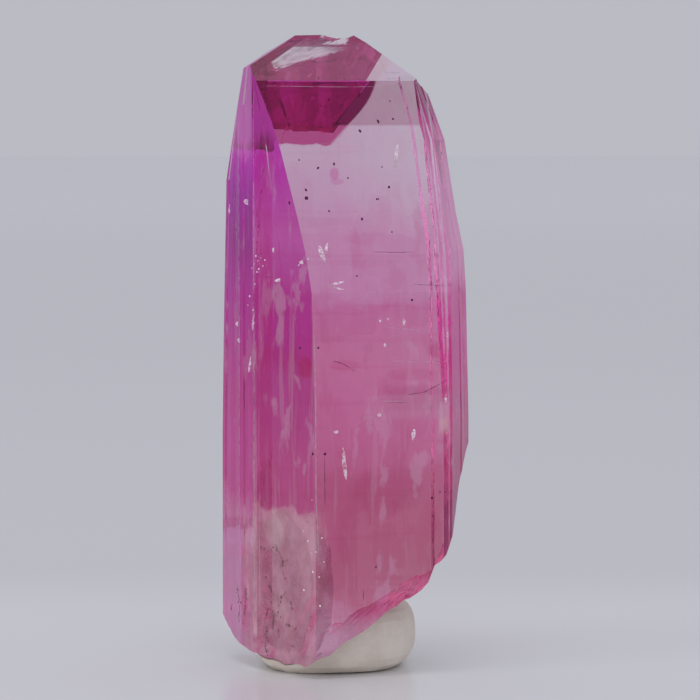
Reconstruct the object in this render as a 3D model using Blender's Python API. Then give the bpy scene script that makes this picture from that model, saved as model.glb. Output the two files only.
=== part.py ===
"""A pink zoisite (tanzanite) crystal that stands upright in a small lump of white mounting putty.

Metres, +Z up. The front of the crystal faces -Y, +X is on the right, and z = 0 is the flat
underside of the putty. The crystal is a prism of nine faces that taper towards the top, cut by
the planes of its termination and by one conchoidal break across its base.
"""

import math

import bmesh
import bpy
import numpy as np

MM = 0.001

# Prism faces in order round the crystal: azimuth of the outward normal (degrees, 0 is +X and 270
# is the front), then the face's distance from the axis at a few heights, (height, distance) in mm.
PRISM_FACES = {
    "front_left": (225.0, ((0.0, 3.39),)),
    "front": (
        284.0,
        (
            (0.0, 3.30), (10.0, 3.25), (15.1, 3.10), (16.6, 2.82), (18.1, 2.40),
            (20.6, 1.62), (21.7, 1.20), (23.3, 0.44),
        ),
    ),
    "front_bevel": (
        312.0,
        ((0.0, 4.42), (10.0, 4.36), (15.1, 4.09), (17.2, 3.73), (21.0, 2.63), (23.3, 1.66)),
    ),
    "right": (
        346.0,
        ((0.0, 4.62), (10.0, 4.60), (15.1, 4.47), (16.6, 4.37), (18.1, 4.04), (21.0, 3.54), (23.3, 2.65)),
    ),
    "back_right": (68.0, ((0.0, 2.70), (16.6, 2.69), (21.0, 2.73), (23.3, 2.75))),
    "back": (109.0, ((0.0, 3.45),)),
    "back_left": (
        150.0,
        ((0.0, 5.25), (9.0, 5.21), (13.0, 5.08), (19.4, 4.77), (20.6, 4.36), (22.4, 3.72), (24.5, 3.04)),
    ),
    "left": (202.0, ((22.4, 3.92), (23.3, 3.89), (24.5, 3.85))),
    "left_front": (207.0, ((0.0, 3.77),)),
}
PRISM_TOP = 26.5

# Growth lines that run the length of each face: (share of the face's width, depth in mm).
GROWTH_LINES = {
    "front_left": ((0.05, 0.03), (0.09, 0.03), (0.11, 0.0), (0.50, 0.0), (0.52, 0.02), (0.80, 0.02)),
    "front": ((0.10, 0.0), (0.12, 0.01), (0.17, 0.0), (0.62, 0.0), (0.64, 0.01), (0.70, 0.0)),
    "front_bevel": ((0.30, 0.0), (0.40, 0.04), (0.60, 0.04), (0.72, 0.0)),
    "right": ((0.22, 0.0), (0.25, 0.03), (0.55, 0.03), (0.58, 0.0), (0.80, 0.02)),
    "back_right": ((0.12, 0.03), (0.30, 0.03), (0.33, 0.0), (0.60, 0.0), (0.62, 0.04), (0.85, 0.04)),
    "back": ((0.16, 0.0), (0.18, 0.02), (0.36, 0.02), (0.38, 0.0), (0.70, 0.0), (0.72, 0.02), (0.90, 0.02)),
    "back_left": ((0.20, 0.04), (0.42, 0.04), (0.45, 0.0), (0.70, 0.0), (0.73, 0.03), (0.92, 0.03)),
    "left": ((0.15, 0.0), (0.19, 0.03), (0.46, 0.03), (0.50, 0.0), (0.75, 0.02)),
    "left_front": ((0.30, 0.0), (0.36, 0.03), (0.60, 0.03), (0.66, 0.0)),
}
# A face narrower than this has shallower growth lines, in proportion, mm.
FULL_LINE_WIDTH = 1.0

# Planes of the termination: azimuth and elevation of the normal (degrees), and a point in mm.
CAP_PLANES = {
    "main_cap": (284.0, 33.0, (0.10, -0.45, 23.30)),
    "cap_ledge": (284.0, 29.5, (0.10, -0.46, 23.29)),
    "top_strip": (284.0, 60.0, (-0.30, 0.37, 24.78)),
    "left_cap": (190.0, 59.0, (-2.11, 0.95, 25.10)),
    "slope": (14.0, 52.0, (1.71, 0.57, 24.23)),
    "back_cap": (107.0, 26.5, (-0.86, 0.92, 25.16)),
    "right_cap": (71.0, 9.0, (1.61, 2.15, 23.68)),
}
# A conchoidal chip out of the ridge: centre of the scoop and its radius, mm.
RIDGE_CHIP = ((-0.30, 1.25, 26.02), 1.10)

# The break across the base, seen from the front: (x, height) in mm, a smooth curve in between.
BREAK_OUTLINE = (
    (-5.6, 2.50), (-4.98, 1.20), (-4.72, 0.75), (-4.30, 0.46), (-3.68, 0.42), (-3.10, 0.37), (-2.10, 0.34),
    (-1.50, 0.43), (-1.15, 0.68), (-0.65, 0.92), (-0.25, 1.25), (0.85, 1.95), (1.90, 2.68), (2.30, 2.94),
    (2.62, 2.95), (3.15, 3.36), (3.42, 3.80), (3.52, 4.25), (3.95, 4.55), (4.17, 5.05), (4.36, 5.80),
    (4.45, 6.60), (4.62, 7.45), (4.82, 7.90), (5.05, 8.60), (5.8, 9.40),
)
SHELL_CENTRE = (5.6, -5.2)
SHELL_SPACING = 1.05
SHELL_DEPTH = 0.16
BREAK_RISE_BACK = 0.11
BREAK_COLUMNS = 52
BREAK_ROWS = 34
BREAK_REACH = 6.2
# How far the cutting blocks run below the crystal's break and above the putty's seat, mm.
BELOW_BREAK = -3.0
ABOVE_SEAT = 14.0

# The lump of putty: centre, half sizes and roundness of the pressed blob, mm.
PUTTY_CENTRE = (-0.52, 0.05, 1.32)
PUTTY_HALF_SIZE = (3.26, 2.95, 1.62)
PUTTY_ROUNDNESS = 3.0
PUTTY_PRESS = 0.035
PUTTY_SIDES = 20
PUTTY_RINGS = 18
SEAT_GAP = 0.06


def clear_scene():
    for obj in list(bpy.data.objects):
        bpy.data.objects.remove(obj, do_unlink=True)


def plain_material(name, colour, roughness, transmission=0.0, ior=1.45):
    """A Principled material with a few plain values."""
    material = bpy.data.materials.new(name)
    material.use_nodes = True
    shader = material.node_tree.nodes["Principled BSDF"]
    shader.inputs["Base Color"].default_value = (*colour, 1.0)
    shader.inputs["Roughness"].default_value = roughness
    shader.inputs["Metallic"].default_value = 0.0
    shader.inputs["Transmission Weight"].default_value = transmission
    shader.inputs["IOR"].default_value = ior
    return material


def object_from_grid(name, points, closed_round):
    """An object from a (rows, columns, 3) array in mm, with its first and last row closed by a face."""
    rows, columns = points.shape[:2]
    index = np.arange(rows * columns).reshape(rows, columns)
    right = np.roll(index, -1, axis=1) if closed_round else index[:, 1:]
    left = index if closed_round else index[:, :-1]
    quads = np.stack([left[:-1], right[:-1], right[1:], left[1:]], axis=-1).reshape(-1, 4)
    faces = quads.tolist()
    if closed_round:
        faces += [index[0, ::-1].tolist(), index[-1].tolist()]
    mesh = bpy.data.meshes.new(name)
    mesh.from_pydata((points.reshape(-1, 3) * MM).tolist(), [], faces)
    obj = bpy.data.objects.new(name, mesh)
    bpy.context.scene.collection.objects.link(obj)
    return obj


def face_distances(height):
    return [np.interp(height, *zip(*profile)) for _, profile in PRISM_FACES.values()]


def face_normals():
    azimuths = np.radians([azimuth for azimuth, _ in PRISM_FACES.values()])
    return np.stack([np.cos(azimuths), np.sin(azimuths)], axis=-1)


def prism_corners(height):
    """Where each face meets the next one at this height, (faces, 2) in mm."""
    normals = face_normals()
    distances = np.array(face_distances(height))
    pairs = np.stack([normals, np.roll(normals, -1, axis=0)], axis=1)
    sides = np.stack([distances, np.roll(distances, -1)], axis=-1)
    return np.linalg.solve(pairs, sides[..., None])[..., 0]


def ring(corners):
    """One outline of the prism: the corners, with each face's growth lines set in between them."""
    points = []
    for number, name in enumerate(PRISM_FACES):
        start, end = corners[number - 1], corners[number]
        narrowing = min(1.0, np.linalg.norm(end - start) / FULL_LINE_WIDTH)
        inward = -narrowing * face_normals()[number]
        points.append(start)
        for share, depth in GROWTH_LINES[name]:
            points.append(start + share * (end - start) + depth * inward)
    return np.array(points)


def prism_rings():
    """The prism's outlines: one at every height where a face bends, and a last one at its top."""
    heights = {height for _, profile in PRISM_FACES.values() for height, _ in profile}
    outlines = []
    for height in sorted(heights | {PRISM_TOP}):
        outline = ring(prism_corners(height))
        outlines.append(np.column_stack([outline, np.full(len(outline), height)]))
    return np.array(outlines)


def cut_by_plane(obj, azimuth, elevation, point):
    """Removes what lies outside a crystal plane and closes the cut with a flat face."""
    turn, lift = math.radians(azimuth), math.radians(elevation)
    normal = (math.cos(turn) * math.cos(lift), math.sin(turn) * math.cos(lift), math.sin(lift))
    shape = bmesh.new()
    shape.from_mesh(obj.data)
    everything = shape.verts[:] + shape.edges[:] + shape.faces[:]
    cut = bmesh.ops.bisect_plane(
        shape, geom=everything, plane_co=[value * MM for value in point], plane_no=normal, clear_outer=True
    )
    rim = [piece for piece in cut["geom_cut"] if isinstance(piece, bmesh.types.BMEdge)]
    bmesh.ops.contextual_create(shape, geom=rim)
    bmesh.ops.recalc_face_normals(shape, faces=shape.faces)
    shape.to_mesh(obj.data)
    shape.free()


def break_height(x, y):
    """The base break's height: the outline along x, a slight rise to the back, and shell-like ribs.

    The ribs are arcs round SHELL_CENTRE, each a shallow hollow with a sharp crest at its ends.
    """
    outline = np.array(BREAK_OUTLINE)
    height = np.interp(x, outline[:, 0], outline[:, 1])
    reach = np.hypot(x - SHELL_CENTRE[0], y - SHELL_CENTRE[1]) / SHELL_SPACING
    ribs = np.abs(np.sin(np.pi * reach)) * SHELL_DEPTH * (0.6 + 0.4 * np.sin(0.9 * y + 1.7 * x))
    return height + BREAK_RISE_BACK * (y + 3.0) + ribs


def break_block(name, offset, far_height):
    """A closed block between the break, moved by offset, and a flat plane at far_height (mm)."""
    xs = np.linspace(-BREAK_REACH, BREAK_REACH, BREAK_COLUMNS)
    ys = np.linspace(-BREAK_REACH, BREAK_REACH, BREAK_ROWS)
    x, y = np.meshgrid(xs, ys)
    shape = bmesh.new()
    surface = np.stack([x, y, break_height(x, y) + offset], axis=-1)
    obj = object_from_grid(name, surface, closed_round=False)
    shape.from_mesh(obj.data)
    grown = bmesh.ops.extrude_face_region(shape, geom=shape.faces[:])
    for piece in grown["geom"]:
        if isinstance(piece, bmesh.types.BMVert):
            piece.co.z = far_height * MM
    bmesh.ops.recalc_face_normals(shape, faces=shape.faces)
    shape.to_mesh(obj.data)
    shape.free()
    return hidden_cutter(obj)


def hidden_cutter(obj):
    obj.hide_render = True
    obj.display_type = "WIRE"
    return obj


def chip_cutter():
    """The ball that scoops the chip out of the ridge."""
    centre, radius = RIDGE_CHIP
    mesh = bpy.data.meshes.new("ridge_chip_cutter")
    shape = bmesh.new()
    bmesh.ops.create_icosphere(shape, subdivisions=3, radius=radius * MM)
    shape.to_mesh(mesh)
    shape.free()
    obj = bpy.data.objects.new("ridge_chip_cutter", mesh)
    obj.location = [value * MM for value in centre]
    bpy.context.scene.collection.objects.link(obj)
    return hidden_cutter(obj)


def subtract(obj, cutter):
    modifier = obj.modifiers.new(cutter.name, "BOOLEAN")
    modifier.operation = "DIFFERENCE"
    modifier.object = cutter


def make_crystal():
    crystal = object_from_grid("crystal", prism_rings(), closed_round=True)
    for azimuth, elevation, point in CAP_PLANES.values():
        cut_by_plane(crystal, azimuth, elevation, point)
    subtract(crystal, chip_cutter())
    subtract(crystal, break_block("base_break_cutter", 0.0, BELOW_BREAK))
    crystal.data.materials.append(plain_material("crystal_pink", (0.86, 0.42, 0.66), 0.05, 1.0, 1.69))
    return crystal


def putty_blob():
    """A superellipsoid, sum of |share of each half size|^n = 1, pressed flat at z = 0, in mm."""
    turn = np.linspace(0.0, 2.0 * np.pi, PUTTY_SIDES, endpoint=False)
    lift = np.linspace(-0.5 * np.pi, 0.5 * np.pi, PUTTY_RINGS + 2)[1:-1]
    turn, lift = np.meshgrid(turn, lift)
    way = np.stack([np.cos(lift) * np.cos(turn), np.cos(lift) * np.sin(turn), np.sin(lift)], axis=-1)
    size = (np.abs(way) ** PUTTY_ROUNDNESS).sum(axis=-1) ** (-1.0 / PUTTY_ROUNDNESS)
    size = size * (1.0 + PUTTY_PRESS * np.sin(3.0 * turn + 0.8) * np.cos(lift))
    points = way * size[..., None] * PUTTY_HALF_SIZE + PUTTY_CENTRE
    points[..., 2] = np.maximum(points[..., 2], 0.0)
    return points


def make_putty():
    putty = object_from_grid("putty_rest", putty_blob(), closed_round=True)
    subtract(putty, break_block("putty_seat_cutter", -SEAT_GAP, ABOVE_SEAT))
    putty.data.materials.append(plain_material("putty_white", (0.42, 0.39, 0.36), 0.75))
    putty.data.shade_smooth()
    return putty


def main():
    clear_scene()
    make_crystal()
    make_putty()


main()
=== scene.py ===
"""Looks of the pink zoisite crystal on its putty: glass, inclusions, floor, light and camera."""

import math

import bmesh
import bpy
import numpy as np
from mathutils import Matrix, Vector
from mathutils.bvhtree import BVHTree


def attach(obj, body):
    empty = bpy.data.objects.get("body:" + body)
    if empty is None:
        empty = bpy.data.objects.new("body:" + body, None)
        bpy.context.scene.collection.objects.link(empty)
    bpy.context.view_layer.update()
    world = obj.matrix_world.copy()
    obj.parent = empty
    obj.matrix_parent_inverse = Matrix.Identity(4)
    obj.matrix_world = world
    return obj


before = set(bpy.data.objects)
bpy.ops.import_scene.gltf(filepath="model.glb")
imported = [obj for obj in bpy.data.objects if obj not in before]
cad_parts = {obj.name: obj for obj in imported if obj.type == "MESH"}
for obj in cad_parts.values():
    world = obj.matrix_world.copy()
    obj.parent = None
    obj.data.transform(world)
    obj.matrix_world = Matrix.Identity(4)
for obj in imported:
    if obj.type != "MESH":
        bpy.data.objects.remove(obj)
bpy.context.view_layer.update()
MM = 0.001
RANDOM = np.random.default_rng(7)

# The camera, fitted to the photograph: metres and degrees.
CAMERA_TARGET = (0.20 * MM, 0.0, 12.64 * MM)
CAMERA_DISTANCE = 125.0 * MM
CAMERA_ELEVATION = 4.5
FRAME_WIDTH = 27.91 * MM
FRAME_PIXELS = 700.0
SENSOR = 36.0

CRYSTAL_IOR = 1.69
CRYSTAL_TINT = (0.96, 0.48, 0.80)
TINT_DENSITY = 150.0
GLOSS_TINT = (1.0, 0.35, 0.80, 1.0)
CRYSTAL_TOP = 25.2

# The tint of the front, by height in mm.
FRONT_TINTS = (
    (1.0, (1.0, 0.74, 0.75)), (2.9, (0.65, 0.17, 0.21)), (4.5, (0.61, 0.115, 0.16)),
    (5.9, (0.65, 0.105, 0.165)), (7.6, (0.63, 0.086, 0.16)), (9.3, (0.84, 0.145, 0.30)),
    (10.9, (0.91, 0.17, 0.36)), (12.6, (0.91, 0.21, 0.38)), (14.6, (0.93, 0.21, 0.45)),
    (15.3, (1.0, 0.466, 0.71)), (17.2, (1.0, 0.504, 0.72)), (18.9, (1.0, 0.834, 0.912)),
    (20.2, (1.0, 0.97, 0.96)),
)
# The tints of the other sides, by height in mm. SIDE_TINTS gives the azimuths in degrees that they face.
FRONT_LEFT_TINTS = (
    (1.0, (1.0, 0.88, 0.66)), (2.9, (0.74, 0.31, 0.32)), (5.9, (0.78, 0.33, 0.33)),
    (6.6, (0.62, 0.042, 0.155)), (8.1, (0.62, 0.036, 0.17)), (10.1, (0.57, 0.020, 0.18)),
    (11.7, (0.55, 0.0145, 0.18)), (12.4, (0.52, 0.0035, 0.13)), (13.3, (0.57, 0.0040, 0.21)),
    (15.0, (0.58, 0.0046, 0.22)), (17.3, (0.76, 0.060, 0.48)), (19.5, (0.66, 0.008, 0.46)),
    (21.0, (0.72, 0.0034, 0.54)),
)
LEFT_TINTS = (
    (2.0, (1.0, 0.98, 1.0)), (5.2, (0.98, 0.50, 0.70)), (6.9, (0.86, 0.030, 0.26)),
    (8.9, (0.84, 0.025, 0.38)), (11.0, (0.76, 0.012, 0.31)), (14.9, (0.62, 0.003, 0.40)),
    (16.9, (0.29, 0.001, 0.20)), (18.9, (0.35, 0.001, 0.38)), (20.9, (0.82, 0.006, 0.80)),
)
RIGHT_TINTS = (
    (3.5, (0.63, 0.12, 0.246)), (8.4, (0.37, 0.006, 0.05)), (10.1, (0.66, 0.06, 0.19)),
    (12.5, (0.86, 0.018, 0.24)), (14.9, (0.88, 0.038, 0.31)), (15.4, (0.95, 0.468, 0.645)),
    (17.4, (0.95, 0.68, 0.774)), (19.7, (0.95, 0.637, 0.774)), (21.6, (0.56, 0.035, 0.22)),
    (22.2, (0.4, 0.01, 0.14)),
)
SIDE_TINTS = (
    ((-143.5, -105.0), FRONT_LEFT_TINTS),
    ((-190.0, -143.5), LEFT_TINTS),
    ((-62.0, 22.0), RIGHT_TINTS),
)
# The milky glow of the side faces, by height in mm, and the share of the film that carries it.
LEFT_GLOWS = (
    (4.0, (0.80, 0.40, 0.64)), (7.0, (0.66, 0.08, 0.36)), (11.0, (0.60, 0.05, 0.30)),
    (15.0, (0.52, 0.02, 0.36)), (17.0, (0.42, 0.008, 0.36)), (19.0, (0.44, 0.008, 0.44)),
    (21.0, (0.66, 0.06, 0.64)),
)
RIGHT_GLOWS = (
    (7.0, (0.46, 0.03, 0.22)), (9.5, (0.60, 0.10, 0.34)), (12.5, (0.68, 0.05, 0.40)),
    (15.0, (0.72, 0.07, 0.44)), (16.0, (0.84, 0.30, 0.62)), (20.0, (0.84, 0.34, 0.64)),
    (22.0, (0.55, 0.06, 0.34)),
)
SIDE_FILM = 0.36
# The tint of every face for light that leaves the crystal through it.
EXIT_TINT = (1.0, 0.96, 1.0)
TIP_TINT = (0.98, 0.95, 0.86)
LEFT_CAP_TINT = (0.95, 0.54, 0.76)
TOP_STRIP_TINT = (1.0, 0.42, 0.62)
# Painted shade below the tip, standing for a dark inner reflection: its tint, its darker edge, the lobe
# hanging from it and the duller mauve shade beside it.
PAINTED_SHADE_TINT = (0.62, 0.011, 0.31)
PAINTED_SHADE_EDGE_TINT = (0.06, 0.0002, 0.007)
SHADE_LOBE_TINT = (0.55, 0.035, 0.17)
MAUVE_SHADE_TINT = (0.62, 0.40, 0.44)
SLOPE_TINT = (0.42, 0.02, 0.16)
BREAK_TINT = (0.95, 0.78, 0.84)

# Where the front ends and the tip begins, mm, and the upward tilts over which each zone sets in.
FRONT_TOP = 21.6
TIP_TILT = (0.46, 0.48)
BREAK_TILT = (-0.05, -0.15)

# Darker patches of the front: centre and half size in mm (across, height), and how much they darken.
SPOTS = (
    ((-0.42, 19.7), (0.22, 0.30), (0.95, 0.45, 0.70)),
    ((-0.30, 19.4), (0.30, 0.16), (0.95, 0.60, 0.78)),
    ((1.75, 7.4), (1.6, 1.2), (0.92, 0.74, 0.82)),
    ((3.62, 12.8), (0.5, 0.35), (0.90, 0.55, 0.70)),
    ((2.6, 11.9), (1.2, 0.30), (0.95, 0.72, 0.80)),
    ((0.0, 12.3), (0.7, 0.25), (0.94, 0.66, 0.76)),
    ((0.9, 17.2), (1.2, 0.30), (0.97, 0.80, 0.88)),
)
CRIMSON_BLOCK = ((-1.52, 12.2), (0.34, 0.50), (0.92, 0.30, 0.45))
# A streak on the tip's left slope: centre and half size in mm, and its tint.
CRIMSON_STREAK = ((-3.05, 23.62), (0.50, 0.12), (0.45, 0.06, 0.20))

# Outward normals of the faces in front of the cloud (azimuth in degrees), and their distance from the
# crystal's axis (mm).
FRONT_LEFT = (225.0, 3.39)
FRONT = (284.0, 3.28)
LEFT_FRONT = (207.0, 3.77)


def srgb(red, green, blue):
    """Linear colour from 0-255 display values."""
    values = np.array([red, green, blue]) / 255.0
    linear = np.where(values <= 0.04045, values / 12.92, ((values + 0.055) / 1.055) ** 2.4)
    return tuple(float(value) for value in linear)


class Value:
    """A shader socket; Python's operators on it add Math nodes."""

    def __init__(self, finish, socket):
        self.finish = finish
        self.socket = socket

    def math(self, operation, first, second):
        """A Math node on two values or sockets."""
        return self.finish.node("ShaderNodeMath", {"operation": operation}, {0: first, 1: second})

    def __add__(self, other):
        return self.math("ADD", self, other)

    def __radd__(self, other):
        return self.math("ADD", other, self)

    def __sub__(self, other):
        return self.math("SUBTRACT", self, other)

    def __rsub__(self, other):
        return self.math("SUBTRACT", other, self)

    def __mul__(self, other):
        return self.math("MULTIPLY", self, other)

    def __rmul__(self, other):
        return self.math("MULTIPLY", other, self)


class Finish:
    """One material: a Principled shader and what feeds it."""

    def __init__(self, name, **plain):
        self.material = bpy.data.materials.new(name)
        self.material.use_nodes = True
        self.tree = self.material.node_tree
        self.shader = self.tree.nodes["Principled BSDF"]
        self.output = self.tree.nodes["Material Output"]
        for socket, value in plain.items():
            self.shader.inputs[socket.replace("_", " ")].default_value = value

    def node(self, kind, settings=None, inputs=None, out=0):
        """A node of this kind: settings first, then each input as a value or a link."""
        made = self.tree.nodes.new(kind)
        for name, value in (settings or {}).items():
            if name == "stops":
                self.set_stops(made.color_ramp, value)
            else:
                setattr(made, name, value)
        for socket, value in (inputs or {}).items():
            if isinstance(value, Value):
                self.tree.links.new(value.socket, made.inputs[socket])
            else:
                made.inputs[socket].default_value = value
        return Value(self, made.outputs[out])

    def set_stops(self, ramp, stops):
        """Fills a colour ramp with (place from 0 to 1, colour) pairs."""
        while len(ramp.elements) < len(stops):
            ramp.elements.new(1.0)
        for element, (place, colour) in zip(ramp.elements, stops):
            element.position = place
            element.color = (*colour, 1.0)

    def feed(self, socket, value):
        """Links a value to a socket of the Principled shader."""
        self.tree.links.new(value.socket, self.shader.inputs[socket])

    def blend_with(self, share, other):
        """Mixes this much of another shader into the surface."""
        mixed = {0: share, 1: Value(self, self.shader.outputs[0]), 2: other}
        surface = self.node("ShaderNodeMixShader", None, mixed)
        self.tree.links.new(surface.socket, self.output.inputs["Surface"])

    def place(self):
        """The surface point in millimetres, from object coordinates."""
        metres = self.node("ShaderNodeTexCoord", out="Object")
        return self.node("ShaderNodeVectorMath", {"operation": "SCALE"}, {0: metres, "Scale": 1.0 / MM})

    def stretched(self, point, scale):
        """The point with each axis scaled, so that a pattern on it runs long or flat."""
        return self.node("ShaderNodeVectorMath", {"operation": "MULTIPLY"}, {0: point, 1: scale})

    def along(self, vector, direction):
        """The dot product of a vector with a fixed direction."""
        made = {"operation": "DOT_PRODUCT"}
        return self.node("ShaderNodeVectorMath", made, {0: vector, 1: direction}, out="Value")

    def outward(self, inside):
        """The face's outward normal, also for light that meets the face from inside."""
        values = {0: self.node("ShaderNodeNewGeometry", out="True Normal"), "Scale": 1.0 - inside * 2.0}
        return self.node("ShaderNodeVectorMath", {"operation": "SCALE"}, values)

    def noise(self, point, scale, detail=3.0, roughness=0.5, distortion=0.0):
        """Soft noise from 0 to 1 on a point, mostly near 0.5."""
        values = {"Vector": point, "Scale": scale, "Detail": detail, "Roughness": roughness}
        values["Distortion"] = distortion
        return self.node("ShaderNodeTexNoise", {"noise_dimensions": "3D"}, values, out="Fac")

    def step(self, value, low, high):
        """0 below low, 1 above high, smooth in between."""
        settings = {"interpolation_type": "SMOOTHSTEP", "clamp": True}
        return self.node("ShaderNodeMapRange", settings, {"Value": value, "From Min": low, "From Max": high})

    def band(self, value, low, high, soft):
        """1 between low and high, 0 outside, smooth over this softness at both ends."""
        rise = self.step(value, low - soft, low + soft)
        return rise * (1.0 - self.step(value, high - soft, high + soft))

    def by_height(self, height, tints):
        """A colour that changes up the crystal, from (height in mm, colour) pairs."""
        stops = [(level / CRYSTAL_TOP, colour) for level, colour in tints]
        return self.node("ShaderNodeValToRGB", {"stops": stops}, {"Fac": height * (1.0 / CRYSTAL_TOP)})

    def spot(self, at, centre, half_size):
        """1 at the centre of an ellipse and 0 from its edge outwards."""
        far = (at.across - centre[0]) * (1.0 / half_size[0])
        high = (at.height - centre[1]) * (1.0 / half_size[1])
        return 1.0 - self.step(far * far + high * high, 0.35, 1.0)

    def mix(self, share, first, second, blend="MIX"):
        """The first colour, with this share of the second one mixed in."""
        colours = {0: share, 6: rgba(first), 7: rgba(second)}
        return self.node("ShaderNodeMix", {"data_type": "RGBA", "blend_type": blend}, colours, out=2)

    def bump(self, height, distance):
        """Fine relief from a height, by turning the normal and not by moving the mesh."""
        values = {"Height": height, "Distance": distance, "Strength": 1.0}
        self.feed("Normal", self.node("ShaderNodeBump", None, values))


def rgba(colour):
    """A colour as a node input takes it: a link as it is, three numbers with an alpha of 1."""
    return colour if isinstance(colour, Value) else (*colour, 1.0)


def direction(azimuth, elevation=0.0):
    """Unit vector from an azimuth (0 is +X, 270 is the front) and an elevation, in degrees."""
    turn, lift = math.radians(azimuth), math.radians(elevation)
    return (math.cos(turn) * math.cos(lift), math.sin(turn) * math.cos(lift), math.sin(lift))


# Surfaces worked out on grids


def closed_grid_faces(rows, columns, start=0):
    """Faces of a grid that closes round its columns, with one face over each end row."""
    index = np.arange(rows * columns).reshape(rows, columns) + start
    turned = np.roll(index, -1, axis=1)
    quads = np.stack([index[:-1], turned[:-1], turned[1:], index[1:]], axis=-1).reshape(-1, 4)
    return quads.tolist() + [index[0, ::-1].tolist(), index[-1].tolist()]


def piece_from_grids(name, grids, finish, smooth=True):
    """One object of several closed grids of points in mm, each (rows, columns, 3)."""
    points, faces, start = [], [], 0
    for grid in grids:
        rows, columns = grid.shape[:2]
        faces += closed_grid_faces(rows, columns, start)
        points.append(grid.reshape(-1, 3))
        start += rows * columns
    mesh = bpy.data.meshes.new(name)
    mesh.from_pydata((np.concatenate(points) * MM).tolist(), [], faces)
    mesh.materials.append(finish.material)
    if smooth:
        mesh.shade_smooth()
    piece = bpy.data.objects.new(name, mesh)
    bpy.context.scene.collection.objects.link(piece)
    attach(piece, "root")
    return piece


def ball(centre, sizes, rows=6, columns=10, turn=0.0, tilt=0.0, wave=0.0):
    """A squashed ball: centre + sizes * (cos v cos u, cos v sin u, sin v), its thin side bent by
    wave * sin(3 along + 1) * cos(2 up), then tilted about Y and turned about Z.
    """
    u = np.linspace(0.0, 2.0 * np.pi, columns, endpoint=False)
    v = np.linspace(-0.5 * np.pi, 0.5 * np.pi, rows + 2)[1:-1]
    u, v = np.meshgrid(u, v)
    way = np.stack([np.cos(v) * np.cos(u), np.cos(v) * np.sin(u), np.sin(v)], axis=-1)
    points = way * np.array(sizes)
    points[..., 1] += wave * np.sin(3.0 * way[..., 0] + 1.0) * np.cos(2.0 * way[..., 2])
    c, s = math.cos(tilt), math.sin(tilt)
    points = points @ np.array([[c, 0.0, -s], [0.0, 1.0, 0.0], [s, 0.0, c]])
    c, s = math.cos(turn), math.sin(turn)
    points = points @ np.array([[c, s, 0.0], [-s, c, 0.0], [0.0, 0.0, 1.0]])
    return points + np.array(centre)


# Places inside the crystal, by a pixel of the photograph


def camera_place():
    """Where the camera stands: away from its target along a line lifted by its elevation."""
    lift = math.radians(CAMERA_ELEVATION)
    away = Vector((0.0, -math.cos(lift), math.sin(lift))) * CAMERA_DISTANCE
    return Vector(CAMERA_TARGET) + away


def pixel_ray(x, y):
    """The direction in which the camera sees pixel (x, y) of the photograph."""
    lift = math.radians(CAMERA_ELEVATION)
    forward = Vector((0.0, math.cos(lift), -math.sin(lift))) * CAMERA_DISTANCE
    across = (x - 0.5 * FRAME_PIXELS) / FRAME_PIXELS * FRAME_WIDTH
    up = (0.5 * FRAME_PIXELS - y) / FRAME_PIXELS * FRAME_WIDTH
    return (forward + Vector((across, up * math.sin(lift), up * math.cos(lift)))).normalized()


def refracted(way, normal, index):
    """Snell's law for a ray that enters a denser body of this index."""
    cosine = -way.dot(normal)
    inside = math.sqrt(1.0 - (1.0 - cosine * cosine) / (index * index))
    return (way / index + normal * (cosine / index - inside)).normalized()


class Crystal:
    """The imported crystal, to find points at a depth below its skin along a camera ray."""

    def __init__(self):
        node = bpy.data.objects["crystal"]
        shape = bmesh.new()
        shape.from_mesh(node.data)
        self.tree = BVHTree.FromBMesh(shape)
        shape.free()

    def inside(self, x, y, depth):
        """The point in mm that pixel (x, y) shows at this depth (mm) inside the crystal."""
        way = pixel_ray(x, y)
        skin, normal, _, _ = self.tree.ray_cast(camera_place(), way)
        if skin is None:
            raise ValueError(f"pixel {x}, {y} misses the crystal")
        return (skin + refracted(way, normal, CRYSTAL_IOR) * depth * MM) / MM


# Stage: camera, light, floor


def make_camera():
    """The camera of the photograph, level across and looking slightly down."""
    data = bpy.data.cameras.new("camera")
    data.sensor_width = SENSOR
    data.lens = SENSOR * CAMERA_DISTANCE / FRAME_WIDTH
    data.clip_start = 0.001
    data.clip_end = 10.0
    camera = bpy.data.objects.new("camera", data)
    camera.location = camera_place()
    camera.rotation_euler = (math.radians(90.0 - CAMERA_ELEVATION), 0.0, 0.0)
    bpy.context.scene.collection.objects.link(camera)
    bpy.context.scene.camera = camera


def make_world():
    """An even grey studio, and enough bounces for light to get through the crystal."""
    world = bpy.data.worlds.new("studio")
    world.use_nodes = True
    background = world.node_tree.nodes["Background"]
    background.inputs["Color"].default_value = (*srgb(186, 187, 195), 1.0)
    background.inputs["Strength"].default_value = 1.0
    scene = bpy.context.scene
    scene.world = world
    scene.view_settings.view_transform = "Standard"
    scene.cycles.max_bounces = 24
    scene.cycles.transmission_bounces = 24
    scene.cycles.glossy_bounces = 12
    scene.cycles.transparent_max_bounces = 32


def soft_light(name, azimuth, elevation, distance, size, radiance):
    """A soft box that faces the crystal's middle from this direction, metres and degrees."""
    middle = Vector((0.0, 0.0, 13.0 * MM))
    away = Vector(direction(azimuth, elevation))
    data = bpy.data.lights.new(name, "AREA")
    data.shape = "RECTANGLE"
    data.size, data.size_y = size
    data.energy = radiance * math.pi * size[0] * size[1]
    light = bpy.data.objects.new(name, data)
    light.location = middle + away * distance
    light.rotation_euler = away.to_track_quat("Z", "Y").to_euler()
    bpy.context.scene.collection.objects.link(light)


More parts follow.
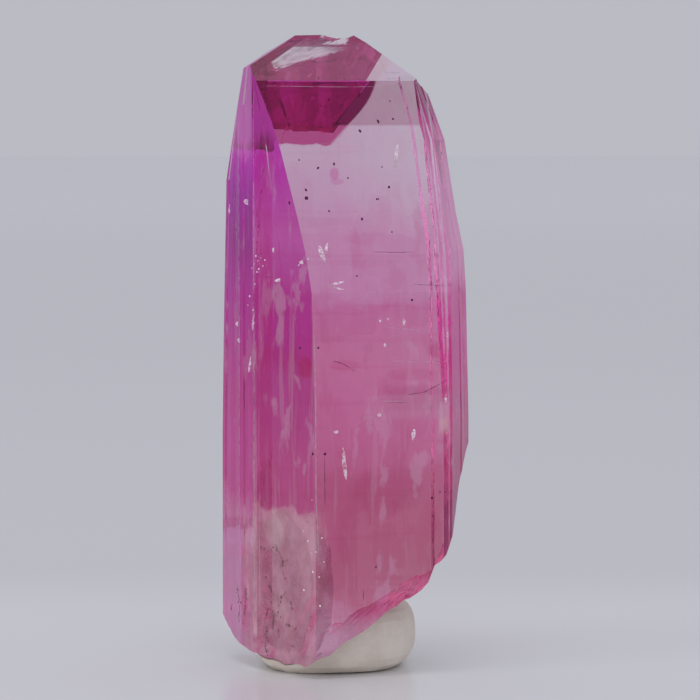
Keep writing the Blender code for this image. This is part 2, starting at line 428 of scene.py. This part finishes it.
def make_floor():
    """A flat pale sheet: bright beside the crystal, darker before and behind it, bright again far off."""
    reach = 1.2
    corners = [(-reach, -reach, 0.0), (reach, -reach, 0.0), (reach, reach, 0.0), (-reach, reach, 0.0)]
    mesh = bpy.data.meshes.new("floor")
    mesh.from_pydata(corners, [], [(0, 1, 2, 3)])
    finish = Finish("floor", Roughness=0.22)
    point = finish.place()
    behind = finish.along(point, (0.0, 1.0, 0.0))
    away = finish.step(behind.math("ABSOLUTE", behind, 0.0), 11.0, 27.0)
    colour = finish.mix(away, (0.865, 0.865, 0.880), (0.755, 0.755, 0.775))
    distance = finish.node("ShaderNodeVectorMath", {"operation": "LENGTH"}, {0: point}, out="Value")
    far = finish.step(distance, 50.0, 650.0)
    finish.feed("Base Color", finish.mix(far, colour, (0.92, 0.92, 0.935)))
    mesh.materials.append(finish.material)
    floor = bpy.data.objects.new("floor", mesh)
    bpy.context.scene.collection.objects.link(floor)


# Finishes


class SurfacePoint:
    """What the crystal's finish knows of a point: its place in mm, and which way its face looks."""

    def __init__(self, finish):
        self.point = finish.place()
        self.across = finish.along(self.point, (1.0, 0.0, 0.0))
        self.height = finish.along(self.point, (0.0, 0.0, 1.0))
        self.inside = finish.node("ShaderNodeNewGeometry", out="Backfacing")
        self.outside = 1.0 - self.inside
        normal = finish.outward(self.inside)
        self.tilt = finish.along(normal, (0.0, 0.0, 1.0))
        east = finish.along(normal, (1.0, 0.0, 0.0))
        north = finish.along(normal, (0.0, 1.0, 0.0))
        self.azimuth = north.math("ARCTAN2", north, east) * math.degrees(1.0)
        self.on_tip = finish.step(self.tilt, *TIP_TILT)
        self.on_break = finish.step(self.tilt, *BREAK_TILT)

    def from_left_slope(self):
        """How far, in mm of height, the point lies below the line of the tip's left slope."""
        return (self.across + 3.84) * 0.717 + 23.66 - self.height

    def right_of_tip(self, finish):
        """1 on the clear right part of the tip, beyond a line that slants up to the right."""
        return finish.step(self.across - (self.height - 23.2) * 0.8, 1.0, 1.3)


def crystal_tint(finish, at):
    """Base colour of the glass: deep violet on the left, pink below, pale lilac near the top."""
    waves = finish.noise(finish.stretched(at.point, (0.75, 0.75, 0.75)), 1.0, 4.0, 0.6, 0.3) - 0.5
    tint = finish.by_height(at.height + waves * 2.6, FRONT_TINTS)
    # Painted shade below the tip, in place of a dark inner reflection.
    tint = painted_shade_below_tip(finish, at, tint, waves)
    for centre, half_size, tone in SPOTS:
        tint = finish.mix(finish.spot(at, centre, half_size), tint, tone, "MULTIPLY")
    for (start, end), tints in SIDE_TINTS:
        facing = finish.band(at.azimuth, start, end, 1.5)
        tint = finish.mix(facing, tint, finish.by_height(at.height + waves * 1.6, tints))
    centre, half_size, tone = CRIMSON_BLOCK
    tint = finish.mix(finish.spot(at, centre, half_size), tint, tone, "MULTIPLY")
    tint = finish.mix(at.on_tip, tint, tip_tint(finish, at))
    return finish.mix(at.on_break, tint, BREAK_TINT)


def painted_shade_below_tip(finish, at, tint, waves):
    """Painted shade below the tip, standing for a dark inner reflection: crimson on the left, a duller mauve
    shade to its right, a lobe hanging from it.

    The crimson ends at across = 1.07 rise - 0.25 rise rise + 0.12, where rise is the height above
    FRONT_TOP.
    """
    rise = at.height - FRONT_TOP
    edge = rise * 1.07 - rise * rise * 0.25 + 0.12
    shade_lobe = finish.step(at.height + waves * 0.7, 20.80, 20.88)
    shade_lobe = shade_lobe * (1.0 - finish.step(at.across - rise * 0.9, 0.05, 0.25))
    mauve_shade = finish.step(at.height, 21.52, 21.64) * finish.step(at.across - edge, -0.06, 0.06)
    crimson_shade = finish.step(at.height, 21.54, 21.62) * (1.0 - finish.step(at.across - edge, -0.05, 0.05))
    deeper_shade = finish.step(at.across - (at.height - 22.21) * 0.84 - 0.045, -0.04, 0.04)
    tint = finish.mix(shade_lobe, tint, SHADE_LOBE_TINT)
    tint = finish.mix(mauve_shade, tint, MAUVE_SHADE_TINT)
    return finish.mix(crimson_shade, tint, finish.mix(deeper_shade, PAINTED_SHADE_TINT, PAINTED_SHADE_EDGE_TINT))


def tip_tint(finish, at):
    """The tip: clear on the right, rosy on the top strip and the left cap, crimson by the left slope."""
    tip = finish.mix(at.right_of_tip(finish), TIP_TINT, (1.0, 1.0, 1.0))
    tip = finish.mix(finish.step(at.tilt, 0.70, 0.75), tip, TOP_STRIP_TINT)
    tip = finish.mix(finish.band(at.azimuth, -180.0, -150.0, 1.5), tip, LEFT_CAP_TINT)
    tip = finish.mix(1.0 - finish.step(at.from_left_slope(), 0.22, 0.30), tip, SLOPE_TINT)
    centre, half_size, tone = CRIMSON_STREAK
    return finish.mix(finish.spot(at, centre, half_size), tip, tone)


def mottled(finish, at, tint):
    """Growth blocks, upright streaks and level bands, which darken and lighten the tint."""
    values = {"Vector": finish.stretched(at.point, (0.95, 0.95, 0.50)), "Scale": 1.0, "Randomness": 0.9}
    cells = finish.node("ShaderNodeTexVoronoi", {"distance": "CHEBYCHEV"}, values, out="Color")
    shade = finish.along(cells, (0.5, 0.5, 0.0))
    blocks = finish.noise(finish.stretched(at.point, (0.9, 0.9, 0.40)), 1.1, 4.0, 0.6, 0.2)
    streaks = finish.noise(finish.stretched(at.point, (3.2, 3.2, 0.16)), 1.0, 4.0, 0.6)
    bands = finish.noise(finish.stretched(at.point, (0.12, 0.12, 2.2)), 1.0, 4.0, 0.65)
    darker = 1.0 - finish.step(at.height, 17.0, 20.5) * 0.65
    paler = 1.0 - finish.step(at.height, 17.0, 21.4)
    tint = finish.mix(finish.step(shade, 0.35, 0.75) * darker * 0.45, tint, (0.86, 0.50, 0.66), "MULTIPLY")
    tint = finish.mix(finish.step(blocks, 0.54, 0.64) * darker * 0.50, tint, (0.88, 0.50, 0.66), "MULTIPLY")
    tint = finish.mix(finish.step(blocks, 0.44, 0.36) * paler * 0.22, tint, (1.0, 0.70, 0.84))
    tint = finish.mix(finish.step(bands, 0.56, 0.63) * darker * 0.32, tint, (0.88, 0.55, 0.70), "MULTIPLY")
    return finish.mix(finish.step(streaks, 0.55, 0.66) * paler * 0.10, tint, (1.0, 0.80, 0.90))


def cloudy_foot(finish, at):
    """Share and colour of the milky film over the cloud, below a ragged rim at about 6.5 mm."""
    puffs = finish.noise(finish.stretched(at.point, (0.9, 0.9, 0.55)), 1.0, 5.0, 0.6)
    rim = finish.noise(finish.stretched(at.point, (1.0, 1.0, 0.2)), 1.3, 2.0, 0.5) * 1.5 + 5.75
    share = 1.0 - finish.step(at.height, rim - 0.10, rim + 0.14)
    share = share * finish.band(at.across, -4.25, -0.95, 0.45)
    share = share * (finish.step(puffs, 0.25, 0.75) * 0.40 + 0.22)
    share = share * (1.0 - finish.step(at.azimuth, -50.0, -20.0))
    colour = finish.mix(finish.step(puffs, 0.35, 0.65), (0.74, 0.36, 0.44), (0.86, 0.52, 0.58))
    pale = finish.spot(at, (-2.75, 5.55), (0.42, 0.85))
    return share, finish.mix(pale, colour, (0.94, 0.66, 0.66))


def milky_films(finish, at):
    """The share and colour of all thin milky films: foot, side faces, shoulder, tip and break; the tip's
    film is painted sheen, and painted highlights run down the front's right edge.
    """
    height = at.height
    left = 1.0 - finish.step(at.azimuth, -106.0, -104.0)
    left_side = (1.0 - finish.step(at.azimuth, -145.0, -142.0)) * finish.step(height, 4.5, 7.5) * SIDE_FILM
    right_side = finish.band(at.azimuth, -40.0, 22.0, 2.0) * SIDE_FILM
    corner = (1.0 - finish.step(height, 4.6, 7.2)) * left * 0.60
    corner = corner * (1.0 - finish.step(at.across, -4.25, -3.95))
    drips = finish.noise(finish.stretched(at.point, (1.6, 1.6, 0.15)), 1.0, 3.0, 0.6)
    shoulder = finish.step(height + (drips - 0.5) * 3.5, 20.1, 21.3) * left * (1.0 - at.on_tip)
    glow = finish.mix(finish.step(at.across, -3.75, -3.60), (0.86, 0.26, 0.74), (0.66, 0.07, 0.50))
    tip = finish.band(at.tilt, 0.47, 0.62, 0.01) * (1.0 - at.right_of_tip(finish))
    low_front = (1.0 - finish.step(height, 1.0, 3.0)) * finish.step(at.across, -1.3, -0.7) * (1.0 - left)
    beige_block = finish.band(at.across, 3.69, 4.08, 0.08) * finish.band(height, 9.6, 10.8, 0.25)
    pale_band = finish.band(height, 10.15, 11.1, 0.12) * finish.band(at.across, 1.0, 3.8, 0.5)
    left_glow = finish.by_height(height, LEFT_GLOWS)
    share, colour = cloudy_foot(finish, at)
    for mask, weight, tone in (
        (left_side * at.outside, 1.0, left_glow),
        (right_side * at.outside, 1.0, finish.by_height(height, RIGHT_GLOWS)),
        # painted sheen: the tip's dusty film stands for light from above reflected by its slanted face
        (tip * at.outside, 0.17, (0.78, 0.46, 0.54)),
        (low_front * at.outside, 0.30, (0.98, 0.62, 0.76)),
        (corner, 1.0, left_glow),
        (shoulder, 0.70, glow),
        (frosted_and_sheen_tip(finish, at), 0.82, (0.86, 0.78, 0.83)),
        (painted_edge_highlights(finish, at) * at.outside, 0.55, (0.94, 0.72, 0.86)),
        (at.on_break * at.outside, 0.60, (0.84, 0.70, 0.75)),
        (beige_block, 0.60, (0.98, 0.62, 0.66)),
        (pale_band, 0.18, (0.90, 0.55, 0.72)),
    ):
        colour = finish.mix(finish.step(mask, 0.02, 0.30), colour, tone)
        share = share.math("MAXIMUM", share, mask * weight)
    return share, colour


def painted_edge_highlights(finish, at):
    """Two soft pale lines down the front's right edge, painted highlights of the edge.

    The edge is at across = 3.87 - 0.035 t - 0.007 t t, where t is the height above 13.3 mm.
    """
    rise = at.height - 13.3
    edge = 3.87 - rise * 0.035 - rise * rise * 0.007
    gaps = finish.step(finish.noise(finish.stretched(at.point, (0.5, 0.5, 1.4)), 1.0, 3.0, 0.6), 0.34, 0.60)
    first = finish.band(at.across - edge, -0.035, 0.035, 0.03)
    second = finish.band(at.across - edge - rise * 0.018, 0.13, 0.20, 0.03)
    return (first + second) * finish.band(at.height, 12.6, 22.8, 0.3) * (gaps * 0.7 + 0.3)


def frosted_and_sheen_tip(finish, at):
    """Frosted patch of the slanted tip face, with slanting streaks that break up its edge; its whiteness is
    partly frosting and partly painted sheen.
    """
    across, height = at.across, at.height
    along = across * 0.944 + height * 0.33
    upright = height * 0.944 - across * 0.33
    flow = finish.node("ShaderNodeCombineXYZ", None, {"X": along * 0.7, "Y": upright * 3.2, "Z": 0.0})
    streaks = finish.noise(flow, 1.6, 4.0, 0.65, 0.4)
    above = height - (across + 2.1) * 0.27 + (streaks - 0.5) * 0.7 - 23.95
    patch = finish.step(above, -0.04, 0.12) * (1.0 - finish.step(height, 24.64, 24.72))
    patch = patch * finish.step(across + (height - 24.2) * 0.5, -3.05, -2.90)
    patch = patch * (1.0 - finish.step(across, -1.2, 0.5) * 0.85)
    patch = patch * (finish.step(streaks, 0.36, 0.60) * 0.5 + 0.5)
    patch = patch * finish.step(at.from_left_slope(), 0.24, 0.30)
    chip = finish.step(height, 24.74, 24.80) * finish.band(across, -0.95, 0.10, 0.12)
    chip = chip * finish.step(streaks, 0.42, 0.50)
    return (patch + chip) * finish.step(at.tilt, 0.30, 0.34)


def crystal_finish():
    """Clear pink glass, tinted side by side, frosted on the break, milky at the foot and tip, with painted
    shade below the tip and painted sheen and highlights.
    """
    finish = Finish("crystal_pink", Transmission_Weight=1.0, IOR=CRYSTAL_IOR, Specular_Tint=GLOSS_TINT)
    at = SurfacePoint(finish)
    tint = mottled(finish, at, crystal_tint(finish, at))
    finish.feed("Base Color", finish.mix(at.inside, tint, EXIT_TINT))
    finish.feed("Roughness", at.on_break * 0.34)

    lines = finish.noise(finish.stretched(at.point, (3.6, 3.6, 0.08)), 1.0, 3.0, 0.6)
    dents = finish.noise(finish.stretched(at.point, (1.0, 1.0, 0.5)), 1.6, 3.0, 0.6)
    finish.bump((lines * 0.0022 + dents * 0.006) * (1.0 - finish.step(at.height, 20.5, 21.5) * 0.8), MM)

    share, colour = milky_films(finish, at)
    film = {"Base Color": colour, "Roughness": 0.35, "Specular IOR Level": 0.1}
    finish.blend_with(share, finish.node("ShaderNodeBsdfPrincipled", None, film))

    absorption = {"Color": (*CRYSTAL_TINT, 1.0), "Density": TINT_DENSITY}
    absorb = finish.node("ShaderNodeVolumeAbsorption", None, absorption)
    finish.tree.links.new(absorb.socket, finish.output.inputs["Volume"])
    return finish


def putty_finish():
    """Off-white putty with soft stains and fine grain."""
    finish = Finish("putty_white", Roughness=0.55)
    point = finish.place()
    clean = finish.step(finish.noise(point, 0.6, 4.0, 0.6), 0.38, 0.66)
    finish.feed("Base Color", finish.mix(clean, (0.82, 0.73, 0.62), (0.93, 0.85, 0.74)))
    grain = finish.noise(point, 9.0, 5.0, 0.6)
    dents = finish.noise(point, 1.3, 2.0, 0.5)
    finish.bump(grain * 0.02 + dents * 0.08, MM)
    return finish


def cloud_finish():
    """The milky, beige growth inside the foot of the crystal, thin at its edges."""
    finish = Finish("cloud", Roughness=0.8)
    point = finish.place()
    puffs = finish.step(finish.noise(point, 0.9, 5.0, 0.6), 0.35, 0.65)
    finish.feed("Base Color", finish.mix(puffs, (0.90, 0.60, 0.68), (0.96, 0.84, 0.84)))
    finish.feed("Alpha", finish.step(finish.noise(point, 1.1, 5.0, 0.6), 0.35, 0.80) * 0.55 + 0.15)
    return finish


def film_finish(name, colour, scale, gaps, weight, glow=0.0):
    """A thin film or thread of this colour: patches of noise, none below and full above the gaps' pair."""
    full = (*colour, 1.0)
    finish = Finish(name, Base_Color=full, Roughness=0.4, Emission_Color=full, Emission_Strength=glow)
    patches = finish.noise(finish.place(), scale, 4.0, 0.6)
    finish.feed("Alpha", finish.step(patches, *gaps) * weight)
    return finish


# Inclusions, and painted highlights and shade


# The cloud before it is pressed: centre and half sizes, and the clear glass kept in front of it, mm.
CLOUD_CENTRE = (-2.35, -1.75, 3.35)
CLOUD_HALF_SIZE = (1.75, 1.35, 3.05)
CLOUD_COVER = 0.14


def make_cloud():
    """A lumpy ball in the crystal's front left corner, pressed to stay inside it.

    Each height moves by 0.16 sin(2.3 x + 1.1 z) sin(1.9 z + 0.7) + 0.10 sin(5.1 x). A point beyond one
    of the three front faces is pushed back behind it, and a point below the break's line is lifted
    to it: that line rises to both sides of x from -2.6 to -1.2, and to the back.
    """
    lumps = ball(CLOUD_CENTRE, CLOUD_HALF_SIZE, rows=40, columns=56)
    wobble = 0.16 * np.sin(2.3 * lumps[..., 0] + 1.1 * lumps[..., 2]) * np.sin(1.9 * lumps[..., 2] + 0.7)
    lumps[..., 2] += wobble + 0.10 * np.sin(5.1 * lumps[..., 0])
    for azimuth, distance in (FRONT_LEFT, FRONT, LEFT_FRONT):
        normal = np.array(direction(azimuth))
        over = np.maximum(lumps @ normal - (distance - CLOUD_COVER), 0.0)
        lumps = lumps - over[..., None] * normal
    floor = 0.62 + 0.35 * np.maximum(-2.6 - lumps[..., 0], 0.0) + 0.8 * np.maximum(lumps[..., 0] + 1.2, 0.0)
    lumps[..., 2] = np.maximum(lumps[..., 2], floor + 0.11 * (lumps[..., 1] + 3.0) + 0.22)
    return piece_from_grids("cloud", [lumps], cloud_finish())


# Dark grains seen in the clear part: pixel x, y.
GRAINS = (
    (306, 190), (307, 198), (299, 160), (318, 168), (329, 211), (334, 164), (348, 178), (382, 167),
    (378, 199), (389, 187), (392, 232), (357, 276), (362, 219), (390, 101), (378, 121), (360, 131),
    (376, 567), (432, 498), (440, 492), (412, 300), (325, 454), (307, 522), (300, 348), (393, 119),
)
# Brown branching stains over the cloud, each a chain of pixels x, y.
STAINS = (
    ((262, 548), (266, 552), (271, 550), (276, 545)), ((276, 548), (280, 554), (283, 562), (281, 567)),
    ((283, 562), (288, 560)), ((266, 559), (267, 565)), ((267, 571), (266, 577)), ((283, 571), (285, 578)),
    ((269, 586), (271, 590), (274, 594)), ((285, 593), (281, 597), (279, 605)), ((265, 597), (269, 600)),
    ((264, 605), (268, 611), (266, 618)), ((272, 602), (271, 610), (276, 615), (280, 617)),
    ((273, 612), (273, 628)), ((278, 612), (274, 618)), ((267, 628), (265, 636), (268, 640)),
    ((266, 641), (266, 652)), ((279, 630), (280, 636)), ((286, 625), (291, 627)), ((293, 628), (297, 629)),
    ((291, 602), (292, 608)), ((290, 646), (294, 647)), ((237, 584), (239, 602)), ((238, 602), (242, 603)),
    ((246, 590), (245, 614)), ((240, 606), (239, 621)), ((243, 616), (243, 626)), ((232, 604), (232, 609)),
)
# Small bright gleams, painted highlights that glow faintly: pixel x, y, half width and half height in mm.
PAINTED_GLEAMS = (
    (322, 256, 0.10, 0.42), (326, 250, 0.06, 0.28), (303, 262, 0.16, 0.07), (280, 280, 0.22, 0.07),
    (230, 209, 0.06, 0.22), (248, 202, 0.18, 0.11), (396, 157, 0.07, 0.50), (238, 324, 0.10, 0.10),
    (240, 340, 0.10, 0.10), (334, 284, 0.40, 0.05), (336, 288, 0.30, 0.04), (413, 435, 0.09, 0.24),
    (344, 462, 0.08, 0.70), (445, 400, 0.09, 0.10), (404, 322, 0.06, 0.14), (380, 321, 0.05, 0.05),
    (388, 319, 0.05, 0.05), (385, 345, 0.05, 0.08), (447, 335, 0.06, 0.10), (379, 415, 0.08, 0.08),
    (336, 432, 0.10, 0.07), (274, 250, 0.07, 0.10), (254, 320, 0.06, 0.40), (251, 360, 0.05, 0.50),
)
# Bright points of the scratchy veil at the front corner and of the cluster on the left, painted sparkles
# that glow faintly: pixel x, y.
PAINTED_SPARKS = (
    (303, 531), (324, 562), (304, 590), (319, 577), (313, 572), (311, 553), (308, 541), (316, 552),
    (322, 538), (256, 256), (258, 261), (261, 258), (254, 264), (263, 266), (259, 269), (257, 272),
    (252, 268), (265, 260), (320, 606), (309, 628), (255, 284), (250, 296), (253, 310), (248, 305),
    (299, 265), (308, 259), (312, 500),
)
# Pale lines of growth steps and edges, painted highlights of the light they catch: thickness in mm, then
# pixels x, y from the top down.
PALE_HIGHLIGHT_LINES = (
    (0.020, ((253.6, 92), (254.0, 300), (254.6, 600))),
    (0.014, ((238.8, 112), (239.2, 300), (239.6, 575))),
    (0.012, ((245.7, 76), (246.4, 130))),
    (0.020, ((314.2, 335), (315.7, 400), (316.0, 500), (319.0, 560))),
    (0.012, ((383, 401), (408, 401.5))),
    (0.012, ((430, 422), (440, 422))),
    (0.010, ((387, 327), (413, 330), (436, 333))),
    (0.010, ((390, 361), (430, 362), (452, 361))),
    (0.010, ((361, 417), (369, 418.5))),
    (0.012, ((285, 144), (300, 146.5), (314, 145), (330, 143))),
    (0.012, ((262, 86), (300, 86.5), (340, 87), (378, 86.5))),
    (0.012, ((384, 72), (400, 72.5))),
    (0.012, ((386, 78.5), (414, 79))),
)
# Painted warm highlights: a warm line down the right side.
WARM_HIGHLIGHT_LINES = (
    (0.022, ((461.3, 270), (463.0, 330), (464.4, 400), (464.6, 440))),
    (0.014, ((430.0, 104), (436.0, 122))),
)
# Dark lines, painted shade of creases across the front and of upright seams.
CREASE_SHADE_LINES = (
    (0.012, ((373, 252), (400, 252.4), (414, 252))),
    (0.012, ((414, 284.5), (440, 285.5), (464, 285))),
    (0.016, ((324.5, 456), (324.8, 480), (325.0, 505))),
    (0.012, ((430, 293), (430, 301))),
    (0.012, ((430.4, 303), (430.4, 311))),
    (0.014, ((363.5, 590), (363.5, 600))),
    (0.016, ((280, 83), (320, 83.4), (378, 83.0))),
    (0.018, ((333, 361), (342, 363), (350, 368), (355, 372))),
    (0.020, ((407, 395), (425, 392), (436, 386), (447, 380))),
    (0.010, ((388, 402), (408, 403))),
)
# The three sets of lines, painted highlights and shade: name, lines, colour, scale of the gaps per mm,
# opacity, depth in mm.
LINE_SETS = (
    ("pale_highlight_lines", PALE_HIGHLIGHT_LINES, (0.96, 0.72, 0.86), 2.2, 0.60, 0.0),
    ("warm_highlight_lines", WARM_HIGHLIGHT_LINES, (0.98, 0.42, 0.44), 2.0, 0.55, 0.0),
    ("crease_shade_lines", CREASE_SHADE_LINES, (0.22, 0.03, 0.08), 3.0, 0.60, 0.02),
)


def thread(crystal, pixels, thickness, depth, sides=6, spacing=7.0):
    """A tapered tube along pixels (x, y) at a depth in the crystal: path + r(t) (cos u side + sin u back).

    The radius r is thickness * sin(pi t) ^ 0.35, where t runs from 0 at one end to 1 at the other,
    and sin(pi t) counts as 0.05 at least.
    """
    pixels = np.array(pixels, dtype=float)
    run = np.concatenate([[0.0], np.cumsum(np.hypot(*np.diff(pixels, axis=0).T))])
    count = max(5, int(run[-1] / spacing))
    steps = np.linspace(0.0, run[-1], count)
    route = zip(np.interp(steps, run, pixels[:, 0]), np.interp(steps, run, pixels[:, 1]))
    path = np.array([crystal.inside(x, y, depth) for x, y in route])
    ahead = np.gradient(path, axis=0)
    ahead /= np.linalg.norm(ahead, axis=1)[:, None]
    side = np.cross((0.0, 1.0, 0.0), ahead)
    side /= np.linalg.norm(side, axis=1)[:, None]
    back = np.cross(ahead, side)
    turn = np.linspace(0.0, 2.0 * np.pi, sides, endpoint=False)[None, :, None]
    radius = thickness * np.maximum(np.sin(np.pi * np.linspace(0.0, 1.0, count)), 0.05) ** 0.35
    offset = np.cos(turn) * side[:, None] + np.sin(turn) * back[:, None]
    return path[:, None] + radius[:, None, None] * offset


def make_lines(crystal, name, lines, finish, depth):
    """One piece of all threads of a kind."""
    grids = [thread(crystal, pixels, thickness, depth) for thickness, pixels in lines]
    return piece_from_grids(name, grids, finish)


def make_grains(crystal):
    """Squashed dark balls of uneven size, at uneven depths."""
    finish = Finish("grains", Base_Color=(0.10, 0.03, 0.05, 1.0), Roughness=0.5)
    grids = []
    for x, y in GRAINS:
        size = RANDOM.uniform(0.028, 0.052)
        shape = (size, size * RANDOM.uniform(0.5, 1.0), size * RANDOM.uniform(0.8, 1.7))
        place = crystal.inside(x, y, RANDOM.uniform(0.3, 1.6))
        grids.append(ball(place, shape, tilt=RANDOM.uniform(-0.8, 0.8)))
    return piece_from_grids("grains", grids, finish)


def make_stains(crystal):
    """Chains of thin brown flakes of uneven size and tilt, on the skin over the cloud."""
    finish = film_finish("stains", (0.27, 0.12, 0.11), 7.0, (0.34, 0.58), 0.74)
    turn = math.radians(FRONT_LEFT[0] - 270.0)
    grids = []
    for chain in STAINS:
        links = np.array(chain, dtype=float)
        count = max(3, int(np.hypot(*(links[-1] - links[0])) / 2.0))
        share = np.linspace(0.0, len(links) - 1.0, count)
        xs = np.interp(share, range(len(links)), links[:, 0]) + RANDOM.uniform(-0.8, 0.8, count)
        ys = np.interp(share, range(len(links)), links[:, 1]) + RANDOM.uniform(-0.6, 0.6, count)
        for x, y in zip(xs, ys):
            size = RANDOM.uniform(0.030, 0.060)
            shape = (size * RANDOM.uniform(0.6, 1.2), 0.015, size * RANDOM.uniform(0.7, 1.6))
            tilt = RANDOM.uniform(-0.9, 0.9)
            grids.append(ball(crystal.inside(x, y, 0.0), shape, 4, 8, turn=turn, tilt=tilt))
    return piece_from_grids("stains", grids, finish)


def make_painted_gleams(crystal):
    """Thin bent discs on the skin, with gaps that make them look brushed: painted highlights with a faint
    glow.
    """
    finish = film_finish("painted_gleams", (0.94, 0.84, 0.91), 9.0, (0.34, 0.62), 0.78, glow=0.16)
    grids = []
    for x, y, wide, high in PAINTED_GLEAMS:
        tilt = RANDOM.uniform(-0.25, 0.25)
        grids.append(ball(crystal.inside(x, y, 0.0), (wide, 0.016, high), 14, 20, tilt=tilt, wave=0.01))
    return piece_from_grids("painted_gleams", grids, finish)


def make_painted_sparks(crystal):
    """Bright grains with a few flat sides, on the skin: painted sparkles with a faint glow."""
    finish = Finish(
        "painted_sparks", Base_Color=(1.0, 0.95, 0.98, 1.0), Roughness=0.3,
        Emission_Color=(1.0, 0.88, 0.96, 1.0), Emission_Strength=0.25,
    )
    grids = []
    for x, y in PAINTED_SPARKS:
        size = RANDOM.uniform(0.016, 0.042)
        shape = (size, 0.6 * size, size * RANDOM.uniform(0.6, 1.5))
        grids.append(ball(crystal.inside(x, y, 0.0), shape, 3, 5, tilt=RANDOM.uniform(-0.9, 0.9)))
    return piece_from_grids("painted_sparks", grids, finish, smooth=False)


def dress_crystal():
    """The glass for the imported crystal."""
    bpy.data.objects["crystal"].material_slots[0].material = crystal_finish().material


def dress_putty():
    """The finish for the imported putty."""
    bpy.data.objects["putty_rest"].material_slots[0].material = putty_finish().material


make_camera()
make_world()
make_floor()
soft_light("over_box", 262.0, 80.0, 0.30, (0.15, 0.12), 2.4)
soft_light("left_box", 205.0, 25.0, 0.35, (0.10, 0.30), 1.2)
dress_crystal()
dress_putty()
crystal = Crystal()
make_cloud()
make_grains(crystal)
make_stains(crystal)
make_painted_gleams(crystal)
make_painted_sparks(crystal)
for name, lines, colour, scale, weight, depth in LINE_SETS:
    make_lines(crystal, name, lines, film_finish(name, colour, scale, (0.30, 0.60), weight), depth)
